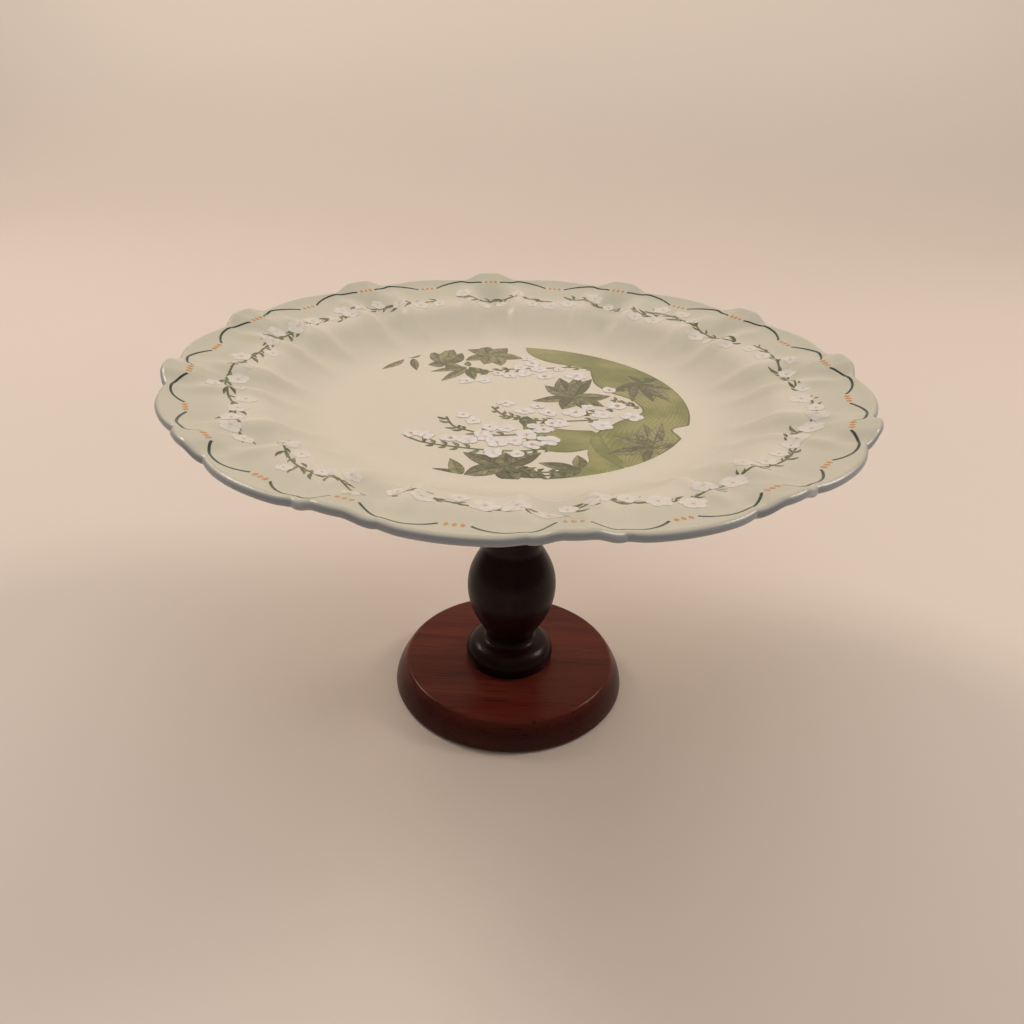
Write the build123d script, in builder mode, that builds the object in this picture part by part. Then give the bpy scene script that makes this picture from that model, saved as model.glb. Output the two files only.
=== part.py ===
from build123d import *
import os
from math import cos, hypot, radians, sin

# A cake stand: a scalloped stoneware plate on a turned wooden pedestal.
# Millimetres, +Z up, origin on the table at the middle of the felt pad.

# Felt pad under the base
felt_radius = 44.0
felt_thickness = 1.0

# Base disc
base_bottom_radius = 50.8
base_top_radius = 45.4
base_thickness = 12.0
base_side_bulge = 0.8
base_bottom_round = 1.0
base_top_round = 1.6

# Glued round tenons at both ends of the column
tenon_radius = 9.0
tenon_length = 4.8
mortise_radius = tenon_radius + 0.1
mortise_depth = tenon_length + 0.2

# Column: foot bead, waist, ball, ring, trumpet and lip, as heights above the base disc
column_height = 102.5
foot_bead_radius = 7.0
foot_bead_ring_radius = 12.1
foot_bead_centre = 3.0
waist_radius = 10.4
waist_height = 12.6
ball_radius = 19.0
ball_height = 37.5
ball_top_radius = 12.2
ball_top_height = 56.5
ring_radius = 3.8
ring_centre_radius = 11.5
ring_centre = 67.5
throat_radius = 11.2
throat_height = 73.0
lip_radius = 24.0
lip_bulge = 0.8
lip_height = 4.0
# How far each end of the curves between them holds its direction
waist_clearance = 0.2
waist_run_in = 1.2
waist_run_out = 4.0
flank_run_in = 13.5
crown_run_out = 8.5
crown_shoulder = 3.0
crown_run_in = 5.5
throat_clearance = 0.4
throat_run_in = 0.6
trumpet_run_out = 10.0
trumpet_flare = 9.0
trumpet_run_in = 3.0

# Mounting disc glued under the plate
mounting_disc_radius = 38.0
mounting_disc_thickness = 12.0
mounting_disc_round = 2.0
adhesive_radius = 34.0
adhesive_thickness = 1.5

# Wood screws along the axis, one from below and one from above
screw_length = 32.0
screw_radius = 2.1
screw_point_length = 6.0
screw_tip_radius = 0.3
screw_pilot_radius = screw_radius + 0.05
screw_clearance_radius = screw_radius + 0.2
pilot_spare_depth = 0.8
flat_head_radius = 4.2
flat_head_depth = 2.1
countersink_radius = flat_head_radius + 0.1
pan_head_radius = 4.2
pan_head_height = 2.5
pan_head_round = 0.9
recess_length = 4.6
recess_width = 0.9
recess_depth = 1.2
washer_radius = 6.5
washer_hole_radius = 2.5
washer_thickness = 0.8
counterbore_radius = 8.0
counterbore_depth = 3.5

# Plate: section along a radius
plate_thickness = 4.5
well_floor_radius = 68.0
well_cove_radius = 45.0
well_wall_angle = 28.0
well_wall_length = 4.0
shoulder_radius = 18.0
flange_angle = 6.0
flange_length = 21.0
upturn_radius = 24.0
upturn_angle = 22.0
edge_overrun = 6.0
edge_round = 1.8
foot_ring_inner_radius = 64.0
foot_ring_outer_radius = 69.0
foot_ring_height = 3.0
foot_ring_taper = 1.0
foot_ring_root = 0.5

# Plate: outline of narrow and wide lobes by turns
lobe_pairs = 12
lobe_tip_radius = 131.8
notch_radius = 128.6
narrow_lobe_start = 1.5
narrow_lobe_angle = 12.0
pair_angle = 360 / lobe_pairs
notch_round = 5.0

# Heights of the stack
base_bottom = felt_thickness
base_top = base_bottom + base_thickness
column_top = base_top + column_height
lip_bottom = column_height - lip_height
disc_top = column_top + mounting_disc_thickness
plate_underside = disc_top + adhesive_thickness
well_floor = plate_underside + plate_thickness
screw_head_seat = base_bottom + counterbore_depth
pan_head_top = screw_head_seat - washer_thickness


def polar_point(radius, angle):
    return (radius * cos(radians(angle)), radius * sin(radians(angle)))


def on_rim(edge):
    middle = edge.position_at(0.5)
    return hypot(middle.X, middle.Y) > notch_radius - 1.0


with BuildPart() as felt_pad:
    Cylinder(felt_radius, felt_thickness, align=(Align.CENTER, Align.CENTER, Align.MIN))

with BuildPart() as base_disc:
    with BuildSketch(Plane.XZ):
        with BuildLine():
            side_foot = (base_bottom_radius, base_bottom)
            side_head = (base_top_radius, base_top)
            Line((0, base_bottom), side_foot)
            SagittaArc(side_foot, side_head, -base_side_bulge)
            Line(side_head, (0, base_top))
            Line((0, base_top), (0, base_bottom))
        make_face()
    revolve(axis=Axis.Z)
    fillet(base_disc.edges().sort_by(Axis.Z)[0], base_bottom_round)
    fillet(base_disc.edges().sort_by(Axis.Z)[-1], base_top_round)
    with Locations(base_disc.faces().sort_by(Axis.Z)[-1]):
        Hole(mortise_radius, mortise_depth)
    with Locations(base_disc.faces().sort_by(Axis.Z)[0]):
        CounterBoreHole(screw_clearance_radius, counterbore_radius, counterbore_depth)

with BuildPart() as column:
    with BuildSketch(Plane.XZ.shift_origin((0, 0, base_top))):
        with BuildLine():
            foot_bead = CenterArc(
                (foot_bead_ring_radius, foot_bead_centre), foot_bead_radius, -25.4, 105.4
            )
            waist = Bezier(
                foot_bead @ 1,
                (waist_radius + waist_clearance, foot_bead_centre + foot_bead_radius + waist_clearance),
                (waist_radius, waist_height - waist_run_in),
                (waist_radius, waist_height),
            )
            ball_flank = Bezier(
                waist @ 1,
                (waist_radius + waist_clearance, waist_height + waist_run_out),
                (ball_radius, ball_height - flank_run_in),
                (ball_radius, ball_height),
            )
            ball_crown = Bezier(
                ball_flank @ 1,
                (ball_radius, ball_height + crown_run_out),
                (ball_top_radius + crown_shoulder, ball_top_height - crown_run_in),
                (ball_top_radius, ball_top_height),
            )
            ring = CenterArc((ring_centre_radius, ring_centre), ring_radius, -80, 160)
            Line(ball_crown @ 1, ring @ 0)
            throat = Bezier(
                ring @ 1,
                (throat_radius, ring_centre + ring_radius + throat_clearance),
                (throat_radius, throat_height - throat_run_in),
                (throat_radius, throat_height),
            )
            trumpet = Bezier(
                throat @ 1,
                (throat_radius + waist_clearance, throat_height + trumpet_run_out),
                (lip_radius - trumpet_flare, lip_bottom - trumpet_run_in),
                (lip_radius, lip_bottom),
            )
            lip = ThreePointArc(
                trumpet @ 1,
                (lip_radius + lip_bulge, column_height - lip_height / 2),
                (lip_radius, column_height),
            )
            Polyline(
                lip @ 1,
                (tenon_radius, column_height),
                (tenon_radius, column_height + tenon_length),
                (0, column_height + tenon_length),
                (0, -tenon_length),
                (tenon_radius, -tenon_length),
                (tenon_radius, 0),
                foot_bead @ 0,
            )
        make_face()
    revolve(axis=Axis.Z)
    pilot_depth = screw_length - counterbore_depth + pilot_spare_depth
    with Locations(column.faces().sort_by(Axis.Z)[0], column.faces().sort_by(Axis.Z)[-1]):
        Hole(screw_pilot_radius, pilot_depth)

with BuildPart() as mounting_disc:
    with Locations((0, 0, column_top)):
        Cylinder(
            mounting_disc_radius,
            mounting_disc_thickness,
            align=(Align.CENTER, Align.CENTER, Align.MIN),
        )
    fillet(mounting_disc.edges().sort_by(Axis.Z)[0], mounting_disc_round)
    with Locations(mounting_disc.faces().sort_by(Axis.Z)[0]):
        Hole(mortise_radius, mortise_depth)
    with Locations(mounting_disc.faces().sort_by(Axis.Z)[-1]):
        CounterSinkHole(screw_clearance_radius, countersink_radius, counter_sink_angle=90)

with BuildPart() as adhesive_disc:
    with Locations((0, 0, disc_top)):
        Cylinder(
            adhesive_radius, adhesive_thickness, align=(Align.CENTER, Align.CENTER, Align.MIN)
        )

with BuildPart() as base_screw_washer:
    with BuildSketch(Plane.XY.offset(pan_head_top)):
        Circle(washer_radius)
        Circle(washer_hole_radius, mode=Mode.SUBTRACT)
    extrude(amount=washer_thickness)

with BuildPart() as base_screw:
    with BuildSketch(Plane.XZ):
        with BuildLine():
            tip_height = pan_head_top + screw_length
            Polyline(
                (0, pan_head_top - pan_head_height),
                (pan_head_radius, pan_head_top - pan_head_height),
                (pan_head_radius, pan_head_top),
                (screw_radius, pan_head_top),
                (screw_radius, tip_height - screw_point_length),
                (screw_tip_radius, tip_height),
                (0, tip_height),
                close=True,
            )
        make_face()
    revolve(axis=Axis.Z)
    fillet(base_screw.edges().sort_by(Axis.Z)[0], pan_head_round)
    with BuildSketch(Plane.XY.offset(pan_head_top - pan_head_height)):
        Rectangle(recess_length, recess_width)
        Rectangle(recess_width, recess_length)
    extrude(amount=recess_depth, mode=Mode.SUBTRACT)

with BuildPart() as mounting_screw:
    with BuildSketch(Plane.XZ):
        with BuildLine():
            tip_height = disc_top - screw_length
            Polyline(
                (0, disc_top),
                (flat_head_radius, disc_top),
                (screw_radius, disc_top - flat_head_depth),
                (screw_radius, tip_height + screw_point_length),
                (screw_tip_radius, tip_height),
                (0, tip_height),
                close=True,
            )
        make_face()
    revolve(axis=Axis.Z)
    with BuildSketch(Plane.XY.offset(disc_top)):
        Rectangle(recess_length, recess_width)
        Rectangle(recess_width, recess_length)
    extrude(amount=-recess_depth, mode=Mode.SUBTRACT)

with BuildPart() as plate:
    with BuildSketch(Plane.XZ):
        with BuildLine():
            floor = Line((0, well_floor), (well_floor_radius, well_floor))
            cove = JernArc(floor @ 1, floor % 1, well_cove_radius, well_wall_angle)
            wall = PolarLine(cove @ 1, well_wall_length, direction=cove % 1)
            shoulder = JernArc(
                wall @ 1, wall % 1, shoulder_radius, flange_angle - well_wall_angle
            )
            flange = PolarLine(shoulder @ 1, flange_length, direction=shoulder % 1)
            upturn = JernArc(flange @ 1, flange % 1, upturn_radius, upturn_angle)
            PolarLine(upturn @ 1, edge_overrun, direction=upturn % 1)
            offset(amount=plate_thickness, side=Side.RIGHT, closed=True)
        make_face()
        with BuildLine():
            Polyline(
                (foot_ring_inner_radius, plate_underside + foot_ring_root),
                (foot_ring_inner_radius + foot_ring_taper, plate_underside - foot_ring_height),
                (foot_ring_outer_radius - foot_ring_taper, plate_underside - foot_ring_height),
                (foot_ring_outer_radius, plate_underside + foot_ring_root),
                close=True,
            )
        make_face()
    revolve(axis=Axis.Z)
    with BuildSketch(Plane.XY.offset(plate_underside - foot_ring_height)) as outline:
        with BuildLine():
            for pair in range(lobe_pairs):
                start = narrow_lobe_start + pair * pair_angle
                middle = start + narrow_lobe_angle
                end = start + pair_angle
                for first, last in ((start, middle), (middle, end)):
                    ThreePointArc(
                        polar_point(notch_radius, first),
                        polar_point(lobe_tip_radius, (first + last) / 2),
                        polar_point(notch_radius, last),
                    )
        make_face()
        fillet(outline.vertices(), notch_round)
    extrude(amount=lobe_tip_radius, mode=Mode.INTERSECT)
    rim_edges = plate.edges().filter_by(on_rim).filter_by(Axis.Z, reverse=True)
    fillet(rim_edges, edge_round)

os.makedirs("parts", exist_ok=True)
for name, piece in (
    ("felt_pad", felt_pad),
    ("base_disc", base_disc),
    ("base_screw", base_screw),
    ("base_screw_washer", base_screw_washer),
    ("column", column),
    ("mounting_screw", mounting_screw),
    ("mounting_disc", mounting_disc),
    ("adhesive_disc", adhesive_disc),
    ("plate", plate),
):
    piece.part.label = name
    export_step(piece.part, f"parts/{name}.step")
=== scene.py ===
import math
import random

import bpy
from bpy.props import FloatProperty, FloatVectorProperty, IntProperty, PointerProperty
from mathutils import Matrix, Vector


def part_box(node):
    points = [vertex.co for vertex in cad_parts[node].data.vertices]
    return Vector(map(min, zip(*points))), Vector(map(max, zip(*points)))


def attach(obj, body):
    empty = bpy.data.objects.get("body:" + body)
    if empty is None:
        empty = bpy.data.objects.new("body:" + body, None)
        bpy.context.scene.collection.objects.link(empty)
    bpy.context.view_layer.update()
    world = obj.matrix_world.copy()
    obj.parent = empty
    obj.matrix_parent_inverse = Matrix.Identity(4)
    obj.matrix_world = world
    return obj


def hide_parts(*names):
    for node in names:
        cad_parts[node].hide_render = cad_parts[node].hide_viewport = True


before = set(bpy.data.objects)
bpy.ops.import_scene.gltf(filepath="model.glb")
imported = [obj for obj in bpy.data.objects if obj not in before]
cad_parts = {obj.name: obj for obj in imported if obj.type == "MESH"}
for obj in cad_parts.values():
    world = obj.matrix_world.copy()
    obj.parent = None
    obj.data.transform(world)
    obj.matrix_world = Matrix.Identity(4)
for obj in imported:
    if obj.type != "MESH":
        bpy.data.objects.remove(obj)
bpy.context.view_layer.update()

bl_info = {
    "name": "Printed Cake Stand",
    "version": (1, 0, 0),
    "blender": (4, 5, 0),
    "location": "3D View > Sidebar > Cake Stand",
    "description": "Builds a scalloped, printed plate on a turned wooden pedestal",
    "category": "Add Mesh",
}

BODY = "root"
MM = 0.001
PLATE_LOW, PLATE_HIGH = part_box("plate")
BASE_LOW, BASE_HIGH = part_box("base_disc")
DISC_LOW, DISC_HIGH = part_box("mounting_disc")
GLUE_LOW, GLUE_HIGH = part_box("adhesive_disc")
FELT_LOW, FELT_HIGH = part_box("felt_pad")
CREASE_ANGLE = math.radians(38)
WELD = 0.02 * MM
PRINT_WELD = 0.0005 * MM
TREES = {}

# In millimetres, and DOT_START in degrees.
FOOT_RING_HEIGHT = 3.0
BARE_HEIGHT, BARE_EDGE = 0.6, 0.3
FOOT_TOP_RADIUS = 44.4
PICTURE_RADIUS = 64.6
DOT_START = 7.5

# Takes this share of the dots' spacing, so that rounding never drops a group's last dot.
SNUG = 0.98

# The lens is in millimetres, the turns are in degrees and the place is in metres.
CAMERA_LENS = 32.34
CAMERA_PITCH, CAMERA_YAW, CAMERA_ROLL = 28.58, -0.17, 2.04
CAMERA_PLACE = (0.0, -0.3337, 0.2672)

# Name, place and size in metres, watts and tint of each light.
SOFTBOXES = [
    ("left_softbox", (-1.0, 0.62, 1.2), 0.5, 9.0, (1.0, 0.90, 0.80)),
    ("right_softbox", (1.2, 0.3, 1.05), 0.5, 8.2, (1.0, 0.91, 0.81)),
    ("ceiling_bounce", (0.0, -0.35, 2.2), 2.6, 18.5, (1.0, 0.93, 0.86)),
]
AIR_TINT, AIR_STRENGTH = (1.0, 0.92, 0.86), 0.12
FLOOR_COLOUR, WALL_COLOUR = (0.80, 0.70, 0.63), (0.97, 0.87, 0.78)


# ---------------------------------------------------------------- node trees as arithmetic


class Wire:
    """One value on its way through a node tree, written as ordinary arithmetic."""

    def __init__(self, graph, socket):
        self.graph = graph
        self.socket = socket

    def __add__(self, other):
        return self.graph.maths("ADD", self, other)

    __radd__ = __add__

    def __sub__(self, other):
        return self.graph.maths("SUBTRACT", self, other)

    def __rsub__(self, other):
        return self.graph.maths("SUBTRACT", other, self)

    def __mul__(self, other):
        return self.graph.maths("MULTIPLY", self, other)

    __rmul__ = __mul__

    def __truediv__(self, other):
        return self.graph.maths("DIVIDE", self, other)

    def __rtruediv__(self, other):
        return self.graph.maths("DIVIDE", other, self)

    def __mod__(self, other):
        return self.graph.maths("FLOORED_MODULO", self, other)

    def __pow__(self, other):
        return self.graph.maths("POWER", self, other)

    def __lt__(self, other):
        return self.graph.maths("LESS_THAN", self, other)

    def __gt__(self, other):
        return self.graph.maths("GREATER_THAN", self, other)

    def __abs__(self):
        return self.graph.maths("ABSOLUTE", self)


class Graph:
    """A node tree being wired up, its nodes laid out from left to right."""

    def __init__(self, tree):
        self.tree = tree
        tree.nodes.clear()

    def node(self, kind, settings=None, sockets=None, output=0):
        """Adds a node: its settings first, then the values or wires of its sockets."""
        made = self.tree.nodes.new(kind)
        made.location = (len(self.tree.nodes) * 180, 0)
        for name, value in (settings or {}).items():
            setattr(made, name, value)
        for name, value in (sockets or {}).items():
            self.feed(find_socket(made.inputs, name), value)
        return Wire(self, find_socket(made.outputs, output)) if made.outputs else None

    def feed(self, socket, value):
        """Sets a socket from a plain value, a wire or a list of wires."""
        for item in value if isinstance(value, list) else [value]:
            if isinstance(item, Wire):
                self.tree.links.new(item.socket, socket)
            else:
                socket.default_value = item

    def maths(self, operation, *values):
        return self.node("ShaderNodeMath", {"operation": operation}, dict(enumerate(values)))

    def smooth(self, value, low, high):
        """0 below low, 1 above high and a smooth step between them."""
        return self.node(
            "ShaderNodeMapRange",
            {"interpolation_type": "SMOOTHSTEP"},
            {"Value": value, "From Min": low, "From Max": high},
        )

    def vector(self, x=0.0, y=0.0, z=0.0):
        return self.node("ShaderNodeCombineXYZ", sockets={"X": x, "Y": y, "Z": z})

    def axes(self, vector):
        """The three numbers of a vector."""
        split = self.node("ShaderNodeSeparateXYZ", sockets={"Vector": vector})
        return [Wire(self, socket) for socket in split.socket.node.outputs]

    def vectors(self, operation, first, second):
        return self.node("ShaderNodeVectorMath", {"operation": operation}, {0: first, 1: second})

    def scaled(self, vector, factor):
        return self.node(
            "ShaderNodeVectorMath", {"operation": "SCALE"}, {"Vector": vector, "Scale": factor}
        )

    def mix(self, factor, first, second):
        """Two colours mixed by a factor. A plain colour is three numbers."""
        ends = [end if isinstance(end, Wire) else (*end, 1.0) for end in (first, second)]
        return self.node(
            "ShaderNodeMix",
            {"data_type": "RGBA"},
            {"Factor": factor, "A": ends[0], "B": ends[1]},
            "Result",
        )

    def noise(self, scale, detail=2.0, roughness=0.5, distortion=0.0, at=None):
        """Noise over the piece, or at a stretched or made-up place."""
        return self.node(
            "ShaderNodeTexNoise",
            sockets={
                "Vector": at or self.place(),
                "Scale": scale,
                "Detail": detail,
                "Roughness": roughness,
                "Distortion": distortion,
            },
        )

    def attribute(self, name):
        """A number stored on the mesh."""
        return self.node("ShaderNodeAttribute", {"attribute_name": name}, output="Fac")

    def place(self, stretch=(1.0, 1.0, 1.0)):
        """Where a point of the piece is, stretched along the axes."""
        coordinates = self.node("ShaderNodeTexCoord", output="Object")
        return self.node("ShaderNodeMapping", sockets={"Vector": coordinates, "Scale": stretch})

    def bump(self, height, distance, strength=1.0, normal=None):
        sockets = {"Height": height, "Distance": distance, "Strength": strength}
        if normal:
            sockets["Normal"] = normal
        return self.node("ShaderNodeBump", sockets=sockets)


def find_socket(sockets, name):
    """A socket by its number, or by its name among those in use."""
    if isinstance(name, int):
        return sockets[name]
    for socket in sockets:
        if socket.name == name and socket.enabled:
            return socket
    raise KeyError(f"no socket {name!r} among {[socket.name for socket in sockets]}")


# ---------------------------------------------------------------- geometry trees


def new_tree(name, inputs):
    """A Geometry Nodes tree with the named inputs. Returns its graph and the inputs' wires."""
    tree = bpy.data.node_groups.new(name, "GeometryNodeTree")
    tree.is_modifier = True
    tree.interface.new_socket("Geometry", in_out="INPUT", socket_type="NodeSocketGeometry")
    for label, (kind, default) in inputs.items():
        socket = tree.interface.new_socket(label, in_out="INPUT", socket_type="NodeSocket" + kind)
        if default is not None:
            socket.default_value = default
    tree.interface.new_socket("Geometry", in_out="OUTPUT", socket_type="NodeSocketGeometry")
    graph = Graph(tree)
    entry = graph.node("NodeGroupInput").socket.node
    return graph, {socket.name: Wire(graph, socket) for socket in entry.outputs if socket.name}


def end_tree(graph, geometry, material):
    """Shades the shape smooth except at its sharp edges, and ends the tree."""
    edge_angle = graph.node("GeometryNodeInputMeshEdgeAngle", output="Unsigned Angle")
    smooth = graph.node("GeometryNodeSetShadeSmooth", {"domain": "FACE"}, {0: geometry})
    creased = graph.node(
        "GeometryNodeSetShadeSmooth",
        {"domain": "EDGE"},
        {0: smooth, "Selection": edge_angle > CREASE_ANGLE, "Shade Smooth": False},
    )
    real = graph.node("GeometryNodeRealizeInstances", sockets={0: creased})
    painted = graph.node("GeometryNodeSetMaterial", sockets={0: real, "Material": material})
    graph.node("NodeGroupOutput", sockets={0: painted})


def weld(graph, geometry, distance=WELD):
    return graph.node("GeometryNodeMergeByDistance", sockets={0: geometry, "Distance": distance})


def store(graph, geometry, name, value, domain="POINT"):
    """Keeps a number on the geometry for its material to read."""
    return graph.node(
        "GeometryNodeStoreNamedAttribute",
        {"data_type": "FLOAT", "domain": domain},
        {"Geometry": geometry, "Name": name, "Value": value},
    )


def spun_grid(graph, section, segments):
    """A grid with a column for each step round the axis and a row for each point of the section.
    Returns it with the radius, height and turn in radians of each of its points."""
    rows = graph.node(
        "GeometryNodeAttributeDomainSize", {"component": "MESH"}, {0: section}, "Point Count"
    )
    grid = graph.node(
        "GeometryNodeMeshGrid",
        sockets={"Size X": 1.0, "Size Y": 1.0, "Vertices X": segments + 1, "Vertices Y": rows},
    )
    place = graph.node("GeometryNodeInputPosition")
    across, along, _ = graph.axes(place)
    row = graph.maths("ROUND", (along + 0.5) * (rows - 1))
    sampled = graph.node(
        "GeometryNodeSampleIndex",
        {"data_type": "FLOAT_VECTOR", "domain": "POINT"},
        {"Geometry": section, "Value": place, "Index": row},
    )
    radius, _, height = graph.axes(sampled)
    return grid, radius, height, (across + 0.5) * (2 * math.pi)


def set_round(graph, grid, radius, height, turn):
    """Moves the grid's points to their places round the axis and closes the seam and poles."""
    ring = graph.vector(
        graph.maths("COSINE", turn) * radius, graph.maths("SINE", turn) * radius, height
    )
    moved = graph.node("GeometryNodeSetPosition", sockets={"Geometry": grid, "Position": ring})
    return weld(graph, moved)


def lathe_tree():
    """Turns a section, drawn from the axis below to the axis above, into a solid of revolution."""
    graph, wires = new_tree("Lathe", {"Segments": ("Int", 192), "Material": ("Material", None)})
    grid, radius, height, turn = spun_grid(graph, wires["Geometry"], wires["Segments"])
    end_tree(graph, set_round(graph, grid, radius, height, turn), wires["Material"])
    return graph.tree


# Where each feature of the plate grows in and dies out, as shares of the rim's radius.
RIDGE_IN, RIDGE_OUT, RIDGE_LOST = (0.56, 0.76), (0.85, 0.97), 0.7
FLUTE_IN, FLUTE_OUT = (0.56, 0.72), (0.8, 0.93)
EAR_IN, DOME_IN, NOTCH_IN = (0.79, 0.95), (0.64, 0.82), (0.85, 1.0)
WALL_IN, WALL_OUT, FLANGE_IN, POCKET_IN = (0.53, 0.64), (0.7, 0.84), (0.76, 0.88), (0.6, 0.8)
RIM_IN = (0.9, 0.97)
LOBE_FULLNESS = 0.8
# Painted shade on the well's wall and on the flange, as shares of the full tint.
WALL_PAINTED_SHADE, FLANGE_PAINTED_SHADE = 0.3, 0.85
LEVEL_ENOUGH = (0.45, 0.9)


def plate_tree():
    """Turns the plate's section and presses its rim into narrow and wide lobes by turns,
    with a ridge running in from each notch between them."""
    graph, wires = new_tree(
        "Scalloped plate",
        {
            "Segments": ("Int", 720),
            "Lobe Pairs": ("Int", 12),
            "First Notch": ("Float", 1.5),
            "Narrow Angle": ("Float", 12.0),
            "Rim Radius": ("Float", 0.132),
            "Notch Depth": ("Float", 0.0022),
            "Ridge Height": ("Float", 0.0014),
            "Ridge Width": ("Float", 0.005),
            "Ear Height": ("Float", 0.003),
            "Ear Edge": ("Float", 0.006),
            "Flute Depth": ("Float", 0.001),
            "Dome Height": ("Float", 0.0006),
            "Material": ("Material", None),
        },
    )
    grid, radius, height, turn = spun_grid(graph, wires["Geometry"], wires["Segments"])
    share = radius / wires["Rim Radius"]
    pair_angle = 360.0 / wires["Lobe Pairs"]
    narrow_angle = wires["Narrow Angle"]
    angle = (turn * (180 / math.pi) - wires["First Notch"]) % pair_angle
    narrow = angle < narrow_angle
    wide = 1 - narrow
    lobe_angle = narrow * narrow_angle + wide * (pair_angle - narrow_angle)
    place = (angle - wide * narrow_angle) / lobe_angle
    lobe = graph.maths("MAXIMUM", graph.maths("SINE", place * math.pi), 0.0) ** LOBE_FULLNESS
    to_notch = graph.maths("MINIMUM", place, 1 - place) * lobe_angle * (math.pi / 180) * radius
    ridge = graph.maths("EXPONENT", -1 * (to_notch / wires["Ridge Width"]) ** 2.0)
    ridge_left = 1 - RIDGE_LOST * graph.smooth(share, *RIDGE_OUT)
    ridge_reach = graph.smooth(share, *RIDGE_IN) * ridge_left
    plateau = narrow * graph.smooth(to_notch, 0.0, wires["Ear Edge"])
    ear = plateau * graph.smooth(share, *EAR_IN) * wires["Ear Height"]
    flute_reach = graph.smooth(share, *FLUTE_IN) * (1 - graph.smooth(share, *FLUTE_OUT))
    flute = narrow * lobe * flute_reach * wires["Flute Depth"]
    dome = wide * lobe * graph.smooth(share, *DOME_IN) * wires["Dome Height"]
    pressed = height + ridge * ridge_reach * wires["Ridge Height"] + ear - flute + dome
    drawn_in = radius - (1 - lobe) * graph.smooth(share, *NOTCH_IN) * wires["Notch Depth"]
    # The tint marks glaze pooling in the narrow lobes' flutes, and painted shade over the narrow
    # lobes, the well's wall and the flange.
    wall = graph.smooth(share, *WALL_IN) * (1 - graph.smooth(share, *WALL_OUT))
    flange = graph.smooth(share, *FLANGE_IN)
    pocket = narrow * lobe * graph.smooth(share, *POCKET_IN)
    pool_and_shade = graph.maths("MAXIMUM", pocket, wall * WALL_PAINTED_SHADE)
    pool_and_shade = graph.maths("MAXIMUM", pool_and_shade, flange * FLANGE_PAINTED_SHADE)
    marked = store(graph, grid, "glaze_pool", pool_and_shade)
    # The ridge mark lightens the glaze where it thins over ridges and paints a highlight along
    # them.
    marked = store(graph, marked, "ridge", ridge * ridge_reach)
    shaped = set_round(graph, marked, drawn_in, pressed, turn)
    # The downward-facing outer edge of the rim is marked for painted blue-grey shade, as it faces
    # away from the lamps.
    _, _, upward = graph.axes(graph.node("GeometryNodeInputNormal"))
    x, y, _ = graph.axes(graph.node("GeometryNodeInputPosition"))
    reach = graph.maths("SQRT", x * x + y * y) / wires["Rim Radius"]
    turned_down_shade = 1 - graph.smooth(upward, *LEVEL_ENOUGH)
    marked = store(graph, shaped, "rim_edge", turned_down_shade * graph.smooth(reach, *RIM_IN))
    end_tree(graph, marked, wires["Material"])
    return graph.tree


LAY_INPUTS = {
    "Glaze": ("Object", None),
    "Lift": ("Float", 0.00006),
    "Thickness": ("Float", 0.0003),
    "Material": ("Material", None),
}


def lay_on_glaze(graph, flat, wires):
    """Drops a flat shape onto the plate, where its own height adds to the lift, and gives it a
    closed underside that lies in the glaze."""
    glaze = graph.node(
        "GeometryNodeObjectInfo", sockets={"Object": wires["Glaze"]}, output="Geometry"
    )
    x, y, own_height = graph.axes(graph.node("GeometryNodeInputPosition"))
    ray = graph.node(
        "GeometryNodeRaycast",
        {"data_type": "FLOAT"},
        {
            "Target Geometry": glaze,
            "Source Position": graph.vector(x, y, 1.0),
            "Ray Direction": (0.0, 0.0, -1.0),
            "Ray Length": 2.0,
        },
        "Hit Position",
    )
    raised = graph.vectors("ADD", ray, graph.vector(z=wires["Lift"] + own_height))
    top = graph.node("GeometryNodeSetPosition", sockets={"Geometry": flat, "Position": raised})
    below = graph.node(
        "GeometryNodeExtrudeMesh",
        {"mode": "FACES"},
        {
            "Mesh": top,
            "Offset": graph.vector(z=-1 * wires["Thickness"]),
            "Offset Scale": 1.0,
            "Individual": False,
        },
    )
    turned = graph.node("GeometryNodeFlipFaces", sockets={0: below})
    joined = graph.node("GeometryNodeJoinGeometry", sockets={0: [top, turned]})
    return weld(graph, joined, PRINT_WELD)


def print_tree():
    """Lays a drawing on the glaze."""
    graph, wires = new_tree("Printed drawing", LAY_INPUTS)
    end_tree(graph, lay_on_glaze(graph, wires["Geometry"], wires), wires["Material"])
    return graph.tree


def line_tree():
    """Prints a line of even width with rounded ends along each path."""
    graph, wires = new_tree(
        "Printed line",
        {"Width": ("Float", 0.0008), "Step": ("Float", 0.0007), **LAY_INPUTS},
    )
    path = graph.node("GeometryNodeMeshToCurve", sockets={0: wires["Geometry"]})
    even = graph.node(
        "GeometryNodeResampleCurve", {"mode": "LENGTH"}, {"Curve": path, "Length": wires["Step"]}
    )
    upright = graph.node("GeometryNodeSetCurveNormal", {"mode": "Z_UP"}, {0: even})
    share = graph.node("GeometryNodeSplineParameter", output="Factor")
    length = graph.node("GeometryNodeSplineLength", output="Length")
    to_end = graph.maths("MINIMUM", share, 1 - share) * length / (wires["Width"] * 0.5)
    full = graph.maths("MINIMUM", to_end, 1.0)
    swell = graph.maths("SQRT", full * (2 - full)) * 0.85 + 0.15
    sized = graph.node("GeometryNodeSetCurveRadius", sockets={"Curve": upright, "Radius": swell})
    half = wires["Width"] * 0.5
    bar = graph.node(
        "GeometryNodeCurvePrimitiveLine",
        {"mode": "POINTS"},
        {"Start": graph.vector(x=-1 * half), "End": graph.vector(x=half)},
    )
    ribbon = graph.node("GeometryNodeCurveToMesh", sockets={"Curve": sized, "Profile Curve": bar})
    end_tree(graph, lay_on_glaze(graph, ribbon, wires), wires["Material"])
    return graph.tree


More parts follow.
